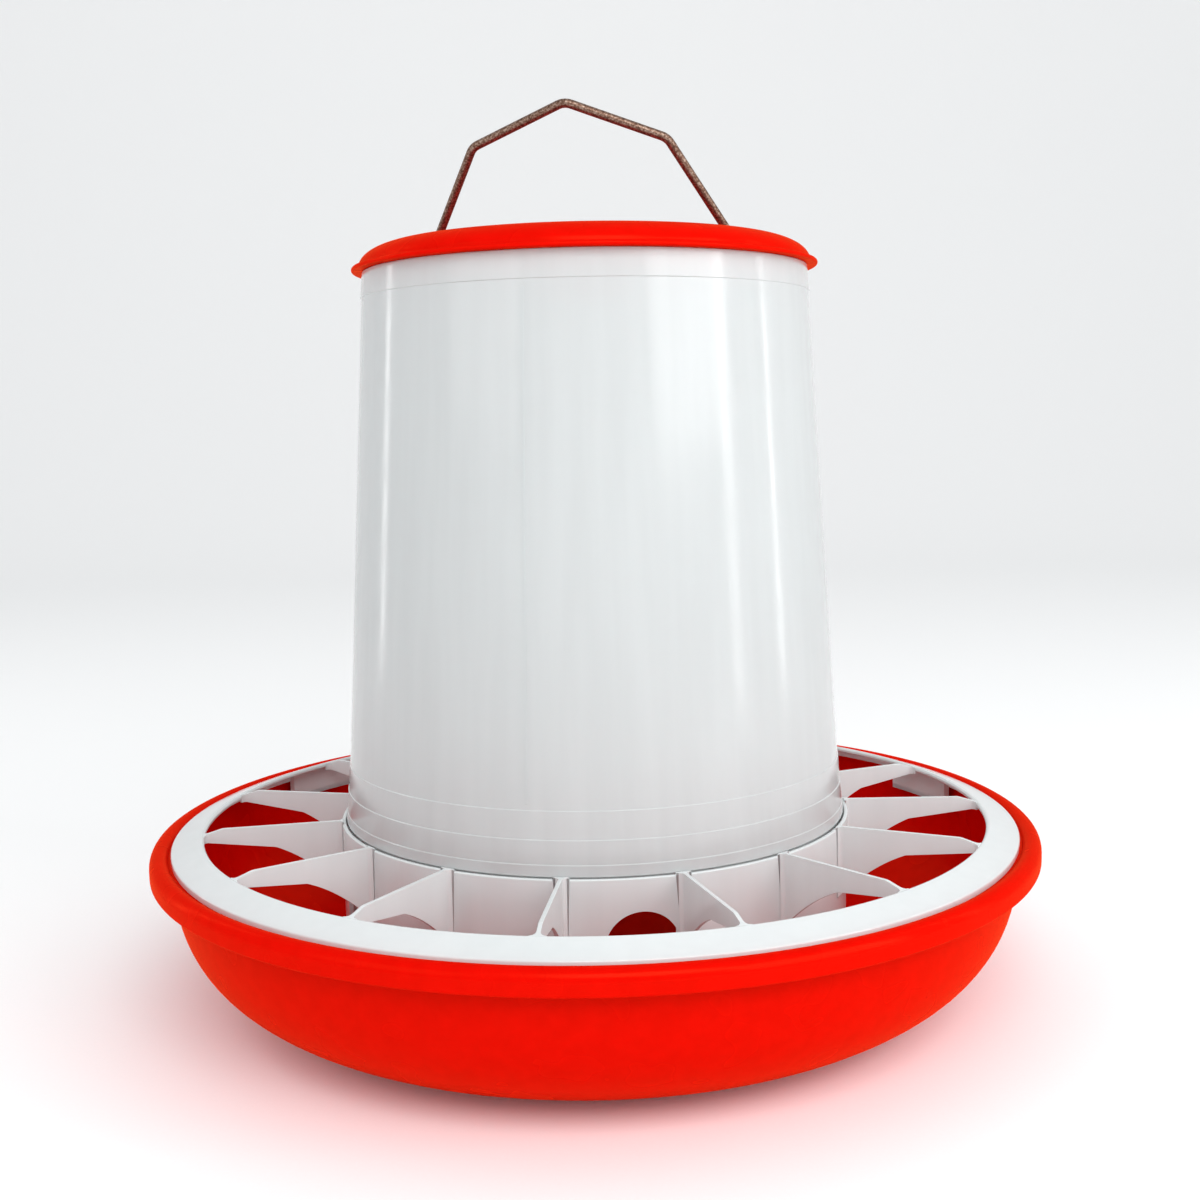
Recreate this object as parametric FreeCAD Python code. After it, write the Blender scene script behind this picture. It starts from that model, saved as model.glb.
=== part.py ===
"""Gravity poultry feeder: round trough with a feeding grill, hopper, lid and wire bail.

Frame: origin on the floor under the centre of the trough, +Z up, -Y the front.  Millimetres.
Each piece is one solid, written to parts/NODE.step.  Bodies, from the floor up:
tray (trough and feed cone), grill (ring, collar and vanes), hopper, lid, bail.
"""
import FreeCAD
import Part
import os
from math import cos, pi, sin

V = FreeCAD.Vector
UP = V(0, 0, 1)
CENTRE = V(0, 0, 0)

# Walls and gaps
WALL = 2.2                # moulded wall
RUN_GAP = 0.4             # radial gap between pieces that slide apart

# Trough
TRAY_RADIUS = 192.0       # over the rolled rim
RIM_TOP = 73.0
RIM_LIP_BOTTOM = 63.4     # lower edge of the rolled rim's outer lip
BOWL_TOP = 64.0           # where the bowl's wall meets the rim
BOWL_RADIUS = 182.7       # outside of the bowl's wall at that height
FLOOR_RADIUS = 90.9       # flat ring the feeder stands on, outer edge
CONE_RADIUS = 78.0        # the feed cone's foot
CONE_TOP = 60.0
CONE_NOSE = 9.0           # radius of the cone's rounded tip
BOWL_FLAT = 2 / 2.68      # exponents of the bowl's superellipse, radial and vertical
BOWL_DEEP = 2 / 2.26
BOWL_STEPS = 10
FLOOR_BAND, LOWER_BAND = 3, 6  # steps up the curve at which the trough is split into nodes

# Feeding grill
RING_INNER = 169.5
RING_OUTER = 183.2
RING_BOTTOM = 70.4        # rests on the shoulder inside the rim
RING_EDGE_TOP = 73.0      # the ring's top face slopes up from its outer edge
RING_TOP = 77.2           # to its inner edge
RING_FOOT = 177.0         # inside of the foot that rests on the shoulder
TAB_INNER = 174.8         # three tabs under the ring carry its lugs
TAB_OUTER = 177.4
TAB_BOTTOM = 61.2
TAB_SPAN = 14.0
COLLAR_OUTER = 111.6
COLLAR_INNER = 109.8
COLLAR_BOTTOM = 3.2
COLLAR_TOP = 78.0
SEAT_INNER = 104.4        # ledge inside the collar that the hopper stands on
SEAT_BOTTOM = 66.3
SEAT_TOP = 68.5
VANE_COUNT = 15
VANE_PHASE = -6.85        # azimuth of one vane, degrees from the front towards +X
VANE_THICK = 1.6
VANE_TOP = 79.0
VANE_LEVEL = 162.0        # the top is level out to here, then drops into the ring
VANE_END = (172.6, 76.0)
VANE_UNDER = 73.4         # underside of the vane at the ring
VANE_BEND = (140.0, 69.4) # where the underside starts to curve down, radius and height
VANE_MIDDLE = (125.8, 61.4)
VANE_ROOT = 48.4          # lowest point of the vane, at the collar
ARCH_COUNT = 5            # one feed arch in every third compartment
ARCH_PHASE = 8.9          # azimuth of the first
ARCH_WIDTH = 29.2
ARCH_TOP = 65.0

# Hopper
HOPPER_FOOT = 109.2       # outside radius of the cone at HOPPER_FOOT_Z
HOPPER_FOOT_Z = 68.0
HOPPER_HEAD = 94.6
HOPPER_TOP = 312.0
SPIGOT_RADIUS = 107.4     # straight foot that stands inside the collar
SPIGOT_TOP = 78.1
STEP_HEIGHTS = (82.6, 92.0, 103.0)
STEP = 0.3
HEAD_BAND = 11.0          # height of the thicker band under the lid
HEAD_BAND_STEP = 0.35

# Lid
FLANGE_RADIUS = 99.0
FLANGE_TOP = 313.8
SHOULDER = ((96.0, 313.8), (94.9, 317.0), (91.7, 319.9), (88.2, 321.6), (84.6, 322.6))
CREST_UNDER = (319.0, 317.6)  # roof of the groove under the shoulder, at the well and the plug
PLUG_OUTER = 91.6         # the plug stands inside the hopper's mouth
PLUG_INNER = 89.2
WELL_OUTER = 84.5
WELL_INNER = 82.3
WELL_FLOOR = 303.0
WELL_BOTTOM = 301.0
WELL_CORNER = 1.6

# Bail: a bent wire whose feet turn in two ears in the lid's well
WIRE = 3.6
PIVOT_Z = 308.0
BAIL_TURN = -10.0         # turn of the pivot axis about Z, right side forward
BAIL_LEAN = 30.3          # lean of the stored pose towards the front
BAIL_HALF = 73.6          # half width at the pivot axis
SHOULDER_HALF = 40.1
SHOULDER_HEIGHT = 60.9
PEAK_HEIGHT = 77.6
BEND = 7.0
FOOT_BEND = 3.5
FOOT_END = 80.4
EAR_INNER = 77.3
EAR_OUTER = 81.0
EAR_RADIUS = 4.6
EAR_GAP = 0.05            # running clearance of the wire in the ear

# Twist locks: lugs under ledges, three of each
LOCK_COUNT = 3
LEDGE_SPAN = 20.0
LUG_SPAN = 18.0
LOCK_TURN = 40.0          # turn from locked to released


def outline(start, steps):
    """Closed face in the XZ plane from (r, z) steps: a point, an (arc middle, end) or a curve."""
    edges = []
    here = V(start[0], 0, start[1])
    for step in steps:
        points = [V(r, 0, z) for r, z in (step if isinstance(step[0], tuple) else [step])]
        if len(points) == 1:
            edges.append(Part.makeLine(here, points[-1]))
        elif len(points) == 2:
            edges.append(Part.Arc(here, points[0], points[1]).toShape())
        else:
            curve = Part.BSplineCurve()
            curve.interpolate([here] + points)
            edges.append(curve.toShape())
        here = points[-1]
    return Part.Face(Part.Wire(edges))


def turned(start, steps, span=360.0):
    """Solid turned about Z from an outline."""
    return outline(start, steps).revolve(CENTRE, UP, span)


def arc_block(inner, outer, bottom, top, azimuth, span):
    """Block of a ring, centred on an azimuth."""
    block = turned((inner, bottom), [(outer, bottom), (outer, top), (inner, top), (inner, bottom)], span)
    return block.rotate(CENTRE, UP, azimuth - 90.0 - span / 2)


def lock_blocks(inner, outer, bottom, top, span, turn):
    """The three ledges or lugs of one twist lock."""
    return [arc_block(inner, outer, bottom, top, turn + 360.0 * k / LOCK_COUNT, span)
            for k in range(LOCK_COUNT)]


def fused(first, others):
    """One clean solid from pieces moulded together."""
    return first.fuse(others).removeSplitter()


def bowl_curve(wall):
    """Points up the bowl's section: outside for wall 0, inside for the wall's thickness."""
    points = []
    for k in range(BOWL_STEPS + 1):
        angle = 0.5 * pi * (1 - k / BOWL_STEPS)
        reach = (BOWL_RADIUS - wall - FLOOR_RADIUS) * max(cos(angle), 0.0) ** BOWL_FLAT
        drop = (BOWL_TOP - wall) * sin(angle) ** BOWL_DEEP
        points.append((FLOOR_RADIUS + reach, BOWL_TOP - drop))
    return points


def bowl_band(first, last):
    """Wall of the bowl between two steps of its curve."""
    outer = bowl_curve(0)[first:last + 1]
    inner = bowl_curve(WALL)[first:last + 1]
    return turned(outer[0], [outer[1:], inner[-1], inner[-2::-1], outer[0]])


def tray_floor():
    """Flat ring that the feeder stands on and the foot of the bowl's curve."""
    outer = bowl_curve(0)[:FLOOR_BAND + 1]
    inner = bowl_curve(WALL)[:FLOOR_BAND + 1]
    return turned((CONE_RADIUS, 0), [outer[0], outer[1:], inner[-1], inner[-2::-1],
                                     (CONE_RADIUS, WALL), (CONE_RADIUS, 0)])


def tray_rim():
    """Shoulder for the grill, rolled rim and the ledges of the grill's lock."""
    inner = BOWL_RADIUS - WALL
    lip = TRAY_RADIUS - WALL
    crown = 0.5 * (RING_OUTER + TRAY_RADIUS)
    flank = RING_OUTER + RUN_GAP
    rim = turned((inner, BOWL_TOP), [
        (BOWL_RADIUS, BOWL_TOP), (flank + 1.8, BOWL_TOP + 2.6), (flank + 1.8, BOWL_TOP + 5.0),
        ((flank + 2.6, RIM_TOP - 2.8), (crown, RIM_TOP - WALL)),
        ((lip - 0.9, RIM_TOP - 2.8), (lip, RIM_TOP - 5.2)),
        (lip, RIM_LIP_BOTTOM), (TRAY_RADIUS, RIM_LIP_BOTTOM), (TRAY_RADIUS, RIM_TOP - 4.6),
        ((TRAY_RADIUS - 1.4, RIM_TOP - 1.3), (crown, RIM_TOP)),
        ((flank + 1.2, RIM_TOP - 0.9), (flank, RIM_TOP - 2.2)),
        (flank, RING_BOTTOM), (inner, RING_BOTTOM), (inner, BOWL_TOP)])
    ledges = lock_blocks(TAB_OUTER + 1.0, inner + 1.0, BOWL_TOP + 0.4, BOWL_TOP + 2.4,
                         LEDGE_SPAN, VANE_PHASE + LOCK_TURN)
    return fused(rim, ledges)


def tray_cone():
    """Feed cone in the middle of the trough, with a small flat tip, hollow underneath."""
    nose_z = CONE_TOP - CONE_NOSE * 0.35
    return turned((CONE_RADIUS, 0), [
        (CONE_RADIUS, WALL), (CONE_RADIUS - 4.0, WALL + 0.6), (CONE_NOSE, nose_z),
        ((0.7 * CONE_NOSE, CONE_TOP - 0.8), (0.4 * CONE_NOSE, CONE_TOP)), (0, CONE_TOP),
        (0, CONE_TOP - WALL), (0.4 * CONE_NOSE, CONE_TOP - WALL),
        (CONE_NOSE - 1.0, nose_z - WALL - 0.6), (CONE_RADIUS - 6.0, 0), (CONE_RADIUS, 0)])


def ring_underside(radius):
    """Point on the underside of the ring's plate."""
    slope = (RING_TOP - RING_EDGE_TOP) / (RING_OUTER - RING_INNER)
    return radius, RING_TOP - WALL - slope * (radius - RING_INNER)


def grill_ring():
    """Ring inside the trough's rim, sloping up inwards, with three tabs that carry its lugs."""
    ring = turned(ring_underside(RING_INNER), [
        ring_underside(RING_FOOT), (RING_FOOT, RING_BOTTOM), (RING_OUTER, RING_BOTTOM),
        (RING_OUTER, RING_EDGE_TOP - 0.5), (RING_OUTER - 0.6, RING_EDGE_TOP),
        (RING_INNER + 0.8, RING_TOP), (RING_INNER, RING_TOP - 0.8), ring_underside(RING_INNER)])
    tab_top = ring_underside(TAB_INNER)[1] + 0.6
    tabs = lock_blocks(TAB_INNER, TAB_OUTER, TAB_BOTTOM, tab_top, TAB_SPAN, VANE_PHASE)
    lugs = lock_blocks(TAB_INNER, TAB_OUTER + 2.2, TAB_BOTTOM, TAB_BOTTOM + 2.4, TAB_SPAN, VANE_PHASE)
    return fused(ring, tabs + lugs)


def arch_cutter(azimuth):
    """Round-headed opening through the collar's wall."""
    half = 0.5 * ARCH_WIDTH
    reach = COLLAR_OUTER - SEAT_INNER + 4.0
    start = SEAT_INNER - 2.0
    head = Part.makeCylinder(half, reach, V(start, 0, ARCH_TOP - half), V(1, 0, 0))
    legs = Part.makeBox(reach, ARCH_WIDTH, ARCH_TOP - half, V(start, -half, 0))
    return head.fuse(legs).rotate(CENTRE, UP, azimuth - 90.0)


def grill_collar():
    """Collar around the hopper's foot: seat ledge, lock ledges and feed arches."""
    collar = turned((COLLAR_INNER, COLLAR_BOTTOM), [
        (COLLAR_OUTER, COLLAR_BOTTOM), (COLLAR_OUTER, COLLAR_TOP), (COLLAR_INNER, COLLAR_TOP),
        (COLLAR_INNER, SEAT_TOP), (SEAT_INNER, SEAT_TOP), (SEAT_INNER, SEAT_BOTTOM),
        (COLLAR_INNER, SEAT_BOTTOM), (COLLAR_INNER, COLLAR_BOTTOM)])
    ledges = lock_blocks(SPIGOT_RADIUS + 0.5, COLLAR_INNER + 0.5, SEAT_TOP + 3.5, SEAT_TOP + 6.0,
                         LEDGE_SPAN, 0.0)
    arches = [arch_cutter(ARCH_PHASE + 360.0 * k / ARCH_COUNT) for k in range(ARCH_COUNT)]
    return fused(collar, ledges).cut(arches)


def grill_vane(ring, collar, azimuth):
    """Upright plate from the collar to the ring, its underside curved down to the collar."""
    root = COLLAR_INNER
    foot = RING_INNER + 0.9
    face = outline((root, VANE_TOP), [
        (VANE_LEVEL, VANE_TOP), VANE_END, (foot, RING_TOP - 0.5 * WALL), (foot, VANE_UNDER), VANE_BEND,
        (VANE_MIDDLE, (COLLAR_OUTER, VANE_ROOT)), (root, VANE_ROOT), (root, VANE_TOP)])
    plate = face.extrude(V(0, VANE_THICK, 0)).translate(V(0, -0.5 * VANE_THICK, 0))
    return plate.rotate(CENTRE, UP, azimuth - 90.0).cut([ring, collar])


def hopper_radius(height):
    """Outside radius of the hopper's plain cone."""
    share = (height - HOPPER_FOOT_Z) / (HOPPER_TOP - HOPPER_FOOT_Z)
    return HOPPER_FOOT + (HOPPER_HEAD - HOPPER_FOOT) * share


def hopper_shell():
    """Tapered tube with a straight foot, fine steps above it and a band at the mouth."""
    swell = STEP * len(STEP_HEIGHTS)
    steps = [(SPIGOT_RADIUS, SPIGOT_TOP), (hopper_radius(SPIGOT_TOP) + swell, SPIGOT_TOP)]
    for height in STEP_HEIGHTS:
        steps.append((hopper_radius(height) + swell, height))
        swell -= STEP
        steps.append((hopper_radius(height) + max(swell, 0.0), height + STEP))
    band = HOPPER_TOP - HEAD_BAND
    steps += [(hopper_radius(band), band), (hopper_radius(band) + HEAD_BAND_STEP, band + STEP),
              (HOPPER_HEAD, HOPPER_TOP), (HOPPER_HEAD - WALL, HOPPER_TOP),
              (hopper_radius(STEP_HEIGHTS[0]) - WALL, STEP_HEIGHTS[0]),
              (SPIGOT_RADIUS - WALL, SPIGOT_TOP - 1.0), (SPIGOT_RADIUS - WALL, SEAT_TOP),
              (SPIGOT_RADIUS, SEAT_TOP)]
    shell = turned((SPIGOT_RADIUS, SEAT_TOP), steps)
    lugs = lock_blocks(SPIGOT_RADIUS - 0.6, COLLAR_INNER - 0.5, SEAT_TOP, SEAT_TOP + 3.0, LUG_SPAN, 0.0)
    ledge_top = WELL_BOTTOM - 4.0
    wall = hopper_radius(ledge_top) - WALL
    ledges = lock_blocks(PLUG_OUTER - 1.2, wall + 0.8, ledge_top - 2.0, ledge_top, LEDGE_SPAN, LOCK_TURN)
    return fused(shell, lugs + ledges)


def bail_frame(shape):
    """Put a shape drawn in the XZ plane about the pivot into the feeder's frame."""
    return shape.rotate(CENTRE, UP, BAIL_TURN).translate(V(0, 0, PIVOT_Z))


def bail_ear(side):
    """Ear on the well's floor, with the hole that the wire's foot turns in."""
    width = EAR_OUTER - EAR_INNER
    depth = PIVOT_Z - WELL_FLOOR + 0.6
    start = V(side * EAR_INNER, 0, 0)
    along = V(side, 0, 0)
    post = Part.makeBox(width, 2 * EAR_RADIUS, depth, V(min(start.x, start.x + side * width),
                                                       -EAR_RADIUS, -depth))
    head = Part.makeCylinder(EAR_RADIUS, width, start, along)
    hole = Part.makeCylinder(0.5 * WIRE + EAR_GAP, width + 2, start - along, along)
    return bail_frame(head.fuse(post).cut(hole))


def lid_pan():
    """Lid: flange on the hopper's mouth, rounded shoulder, sunk well with ears, plug with hooks."""
    crest = SHOULDER[-1]
    pan = turned((0, WELL_BOTTOM), [
        (WELL_OUTER - WELL_CORNER, WELL_BOTTOM),
        ((WELL_OUTER - 0.5, WELL_BOTTOM + 0.5), (WELL_OUTER, WELL_BOTTOM + WELL_CORNER)),
        (WELL_OUTER, CREST_UNDER[0]), (PLUG_INNER, CREST_UNDER[1]), (PLUG_INNER, WELL_BOTTOM),
        (PLUG_OUTER, WELL_BOTTOM), (PLUG_OUTER, HOPPER_TOP), (FLANGE_RADIUS - 0.8, HOPPER_TOP),
        ((FLANGE_RADIUS, 0.5 * (HOPPER_TOP + FLANGE_TOP)), (FLANGE_RADIUS - 0.8, FLANGE_TOP)),
        SHOULDER[0], SHOULDER[1:], ((WELL_INNER + 0.6, crest[1] - 0.6), (WELL_INNER, crest[1] - 2.0)),
        (WELL_INNER, WELL_FLOOR + WELL_CORNER),
        ((WELL_INNER - 0.5, WELL_FLOOR + 0.5), (WELL_INNER - WELL_CORNER, WELL_FLOOR)),
        (0, WELL_FLOOR), (0, WELL_BOTTOM)])
    hook_outer = PLUG_OUTER - 1.6
    hook_bottom = WELL_BOTTOM - 9.0
    stems = lock_blocks(hook_outer - 1.8, hook_outer, hook_bottom, WELL_BOTTOM + 1.0, LUG_SPAN, 0.0)
    tips = lock_blocks(hook_outer - 1.8, PLUG_OUTER + 0.4, hook_bottom, hook_bottom + 2.4, LUG_SPAN, 0.0)
    return fused(pan, [bail_ear(-1), bail_ear(1)] + stems + tips)


def bent_path(corners, radii):
    """Open wire of straight runs joined by tangent arcs."""
    edges = []
    here = corners[0]
    for before, corner, after, radius in zip(corners, corners[1:], corners[2:], radii):
        back = (before - corner).normalize()
        ahead = (after - corner).normalize()
        half = 0.5 * back.getAngle(ahead)
        bisector = (back + ahead).normalize()
        cut_back = radius * cos(half) / sin(half)
        first = corner + back * cut_back
        last = corner + ahead * cut_back
        middle = corner + bisector * (radius / sin(half) - radius)
        edges += [Part.makeLine(here, first), Part.Arc(first, middle, last).toShape()]
        here = last
    edges.append(Part.makeLine(here, corners[-1]))
    return Part.Wire(edges)


def bail_wire():
    """Handle of round wire: two feet, two legs and a shallow peak."""
    half = [V(FOOT_END, 0, 0), V(BAIL_HALF, 0, 0), V(SHOULDER_HALF, 0, SHOULDER_HEIGHT)]
    peak = [V(0, 0, PEAK_HEIGHT)]
    mirrored = [V(-point.x, 0, point.z) for point in reversed(half)]
    path = bent_path(half + peak + mirrored, [FOOT_BEND, BEND, BEND, BEND, FOOT_BEND])
    section = Part.Wire(Part.makeCircle(0.5 * WIRE, half[0], V(-1, 0, 0)))
    wire = path.makePipeShell([section], True, False)
    return bail_frame(wire.rotate(CENTRE, V(1, 0, 0), BAIL_LEAN))


def pieces():
    """Every piece by its node name."""
    ring = grill_ring()
    collar = grill_collar()
    built = {"tray_rim": tray_rim(), "tray_wall_upper": bowl_band(LOWER_BAND, BOWL_STEPS),
             "tray_wall_lower": bowl_band(FLOOR_BAND, LOWER_BAND), "tray_floor": tray_floor(),
             "tray_cone": tray_cone(), "grill_ring": ring, "grill_collar": collar}
    for k in range(VANE_COUNT):
        azimuth = VANE_PHASE + 360.0 * k / VANE_COUNT
        built["grill_vane_%02d" % (k + 1)] = grill_vane(ring, collar, azimuth)
    built.update({"hopper_shell": hopper_shell(), "lid_pan": lid_pan(), "bail_wire": bail_wire()})
    return built


os.makedirs("parts", exist_ok=True)
for node, shape in pieces().items():
    solid = shape.Solids[0] if len(shape.Solids) == 1 else shape
    box = solid.BoundBox
    print("%-16s solids %d valid %s volume %.0f mm3 z %.1f to %.1f" % (
        node, len(shape.Solids), solid.isValid(), solid.Volume, box.ZMin, box.ZMax))
    solid.exportStep("parts/%s.step" % node)
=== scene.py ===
"""Gravity poultry feeder: finished meshes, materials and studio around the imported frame.

Sizes in the classes are millimetres, except the sweep and the lights, which are in metres.
Bench turns millimetres into metres where a mesh is made.
Azimuths are degrees from the front (-Y) towards +X, as seen from above.
"""
import logging
from dataclasses import dataclass
from enum import Enum
from math import atan2, cos, degrees, pi, radians, sin, tan
from typing import Callable, Iterable, Sequence

import bpy
from mathutils import Matrix, Vector


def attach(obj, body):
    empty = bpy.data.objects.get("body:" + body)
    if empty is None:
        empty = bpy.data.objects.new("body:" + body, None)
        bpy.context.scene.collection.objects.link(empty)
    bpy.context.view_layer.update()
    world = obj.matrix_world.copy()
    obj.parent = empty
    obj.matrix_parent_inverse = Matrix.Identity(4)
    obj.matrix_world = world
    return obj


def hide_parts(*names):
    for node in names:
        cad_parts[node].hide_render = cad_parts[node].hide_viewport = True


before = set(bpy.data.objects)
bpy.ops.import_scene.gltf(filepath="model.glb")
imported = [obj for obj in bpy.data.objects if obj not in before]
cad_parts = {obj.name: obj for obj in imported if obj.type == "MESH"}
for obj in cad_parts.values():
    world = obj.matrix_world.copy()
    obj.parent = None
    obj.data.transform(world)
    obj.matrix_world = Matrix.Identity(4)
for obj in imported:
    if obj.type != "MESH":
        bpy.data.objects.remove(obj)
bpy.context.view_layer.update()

MM = 0.001
TURN_STEPS = 192          # faces round a full turn
ARC_STEPS = 5             # faces in a rounded corner
WELD = 2e-6               # metres within which doubled points are merged
SMOOTH_ANGLE = 34.0       # edges sharper than this stay crisp, degrees
NEAR = 0.02               # millimetres within which a point lies on a cut

Object = bpy.types.Object
Material = bpy.types.Material
Outline = list[tuple[float, float]]
log = logging.getLogger("feeder")


class Body(Enum):
    """Rigid bodies of the frame."""
    TRAY = "tray"
    GRILL = "grill"
    HOPPER = "hopper"
    LID = "lid"
    BAIL = "bail"


class Slot(Enum):
    """Material slots of the record."""
    RED = "red_shell"
    WHITE = "white_shell"
    WIRE = "steel_wire"


class Side(Enum):
    """The two ends of the bail's pivot axis."""
    LEFT = -1
    RIGHT = 1


@dataclass(frozen=True)
class Corner:
    """One corner of an outline: distance from the axis, height and rounding radius."""
    reach: float
    height: float
    rounding: float = 0.0

    def point(self) -> Vector:
        """The corner as a flat vector."""
        return Vector((self.reach, self.height))


def rounded(corners: Sequence[Corner], closed: bool = True) -> Outline:
    """Replace each corner that has a rounding with a tangent arc.

    Args:
        corners: the outline's corners in order.
        closed: whether the last corner joins the first.

    Returns:
        The outline's points, with the first repeated at the end when closed.
    """
    points: Outline = []
    count = len(corners)
    for index, corner in enumerate(corners):
        here = corner.point()
        if not corner.rounding:
            points.append((here.x, here.y))
            continue
        back = (corners[index - 1].point() - here).normalized()
        ahead = (corners[(index + 1) % count].point() - here).normalized()
        half = 0.5 * back.angle(ahead)
        centre = here + (back + ahead).normalized() * corner.rounding / sin(half)
        cut_back = corner.rounding / tan(half)
        first = here + back * cut_back - centre
        last = here + ahead * cut_back - centre
        start = atan2(first.y, first.x)
        sweep = (atan2(last.y, last.x) - start + pi) % (2 * pi) - pi
        for step in range(ARC_STEPS + 1):
            angle = start + sweep * step / ARC_STEPS
            points.append((centre.x + corner.rounding * cos(angle),
                           centre.y + corner.rounding * sin(angle)))
    if closed:
        points.append(points[0])
    return points


def oval(centre: Corner, half_width: float, half_height: float, start: float, end: float,
         steps: int = 14) -> list[Corner]:
    """Points of an elliptical arc.

    Args:
        centre: middle of the ellipse.
        half_width: half axis along the reach.
        half_height: half axis along the height.
        start: first angle in degrees, 0 pointing outwards.
        end: last angle in degrees.
        steps: number of chords.

    Returns:
        The arc's points as unrounded corners.
    """
    found = []
    for step in range(steps + 1):
        angle = radians(start + (end - start) * step / steps)
        found.append(Corner(centre.reach + half_width * cos(angle),
                            centre.height + half_height * sin(angle)))
    return found


class Bench:
    """Modelling steps that every piece uses."""

    @staticmethod
    def pick(piece: Object) -> None:
        """Leave edit mode and make one piece the only selected one."""
        if bpy.context.object and bpy.context.object.mode != "OBJECT":
            bpy.ops.object.mode_set(mode="OBJECT")
        bpy.ops.object.select_all(action="DESELECT")
        piece.select_set(True)
        bpy.context.view_layer.objects.active = piece

    @staticmethod
    def named(name: str) -> Object:
        """Name the new primitive, put its place into its mesh and return it."""
        piece = bpy.context.active_object
        piece.name = name
        piece.data.name = name
        bpy.ops.object.transform_apply(location=True, rotation=True, scale=True)
        return piece

    @staticmethod
    def edit_all(piece: Object) -> None:
        """Open a piece in edit mode with everything selected."""
        Bench.pick(piece)
        bpy.ops.object.mode_set(mode="EDIT")
        bpy.ops.mesh.select_mode(type="VERT")
        bpy.ops.mesh.select_all(action="SELECT")

    @staticmethod
    def close() -> None:
        """Merge doubled points, turn the faces outwards and leave edit mode."""
        bpy.ops.mesh.select_all(action="SELECT")
        bpy.ops.mesh.remove_doubles(threshold=WELD)
        bpy.ops.mesh.normals_make_consistent(inside=False)
        bpy.ops.object.mode_set(mode="OBJECT")

    @staticmethod
    def select_where(piece: Object, test: Callable[[Vector], bool]) -> None:
        """Open a piece in edit mode with the points that pass a test selected.

        Args:
            piece: the piece to edit.
            test: takes a point in millimetres.
        """
        Bench.edit_all(piece)
        bpy.ops.mesh.select_all(action="DESELECT")
        bpy.ops.object.mode_set(mode="OBJECT")
        for vertex in piece.data.vertices:
            vertex.select = test(vertex.co / MM)
        bpy.ops.object.mode_set(mode="EDIT")

    @staticmethod
    def draw(name: str, outline: Outline) -> Object:
        """Draw an outline in the XZ plane, each point extruded from the last.

        Args:
            name: the new piece's name.
            outline: points as (reach, height).

        Returns:
            The piece, still in edit mode with its doubled points merged.
        """
        bpy.ops.object.select_all(action="DESELECT")
        bpy.ops.mesh.primitive_plane_add(size=MM)
        Bench.edit_all(Bench.named(name))
        bpy.ops.mesh.merge(type="CENTER")
        bpy.ops.mesh.select_all(action="SELECT")
        bpy.ops.transform.translate(value=(outline[0][0] * MM, 0, outline[0][1] * MM))
        for (reach, height), (next_reach, next_height) in zip(outline, outline[1:]):
            step = ((next_reach - reach) * MM, 0, (next_height - height) * MM)
            bpy.ops.mesh.extrude_region_move(TRANSFORM_OT_translate={"value": step})
        bpy.ops.mesh.select_all(action="SELECT")
        bpy.ops.mesh.remove_doubles(threshold=WELD)
        bpy.ops.mesh.select_all(action="SELECT")
        return bpy.context.active_object

    @staticmethod
    def lathe(name: str, outline: Outline, steps: int = TURN_STEPS) -> Object:
        """Turn an outline once round the axis.

        Args:
            name: the new piece's name.
            outline: closed, or open with both ends on the axis.
            steps: faces round the turn.

        Returns:
            The turned piece.
        """
        piece = Bench.draw(name, outline)
        bpy.ops.mesh.spin(steps=steps, angle=2 * pi, center=(0, 0, 0), axis=(0, 0, 1))
        Bench.close()
        return piece

    @staticmethod
    def block(name: str, corners: Sequence[Corner], azimuth: float, span: float) -> Object:
        """Turn a filled outline through part of a turn.

        Args:
            name: the new piece's name.
            corners: the outline.
            azimuth: middle of the block.
            span: its width in degrees.

        Returns:
            The block.
        """
        piece = Bench.draw(name, rounded(corners))
        bpy.ops.mesh.edge_face_add()
        steps = max(3, round(TURN_STEPS * span / 360))
        bpy.ops.mesh.spin(steps=steps, angle=radians(span), center=(0, 0, 0), axis=(0, 0, 1))
        Bench.close()
        Bench.rotate(piece, "Z", azimuth - 90 + span / 2)
        return piece

    @staticmethod
    def rotate(piece: Object, axis: str, angle: float) -> None:
        """Turn a whole mesh about an axis through the origin.

        Args:
            piece: the piece to turn.
            axis: X, Y or Z.
            angle: degrees by the right-hand rule.
        """
        Bench.edit_all(piece)
        bpy.ops.transform.rotate(value=-radians(angle), orient_axis=axis, orient_type="GLOBAL",
                                 center_override=(0, 0, 0))
        bpy.ops.object.mode_set(mode="OBJECT")

    @staticmethod
    def raise_by(piece: Object, height: float) -> None:
        """Lift a whole mesh."""
        Bench.edit_all(piece)
        bpy.ops.transform.translate(value=(0, 0, height * MM))
        bpy.ops.object.mode_set(mode="OBJECT")

    @staticmethod
    def copy(piece: Object, name: str) -> Object:
        """Copy a piece with its own mesh."""
        Bench.pick(piece)
        bpy.ops.object.duplicate(linked=False)
        return Bench.named(name)

    @staticmethod
    def join(piece: Object, others: Iterable[Object]) -> None:
        """Add other meshes to a piece."""
        Bench.pick(piece)
        for other in others:
            other.select_set(True)
        bpy.ops.object.join()

    @staticmethod
    def combine(piece: Object, tool: Object, operation: str) -> None:
        """Unite a piece with a tool shape, or cut the tool out of it.

        Args:
            piece: the piece that stays.
            tool: the shape that is used up.
            operation: UNION or DIFFERENCE.
        """
        Bench.pick(piece)
        modifier = piece.modifiers.new("combine", "BOOLEAN")
        modifier.operation = operation
        modifier.object = tool
        modifier.solver = "EXACT"
        bpy.ops.object.modifier_apply(modifier=modifier.name)
        bpy.data.objects.remove(tool)

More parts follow.
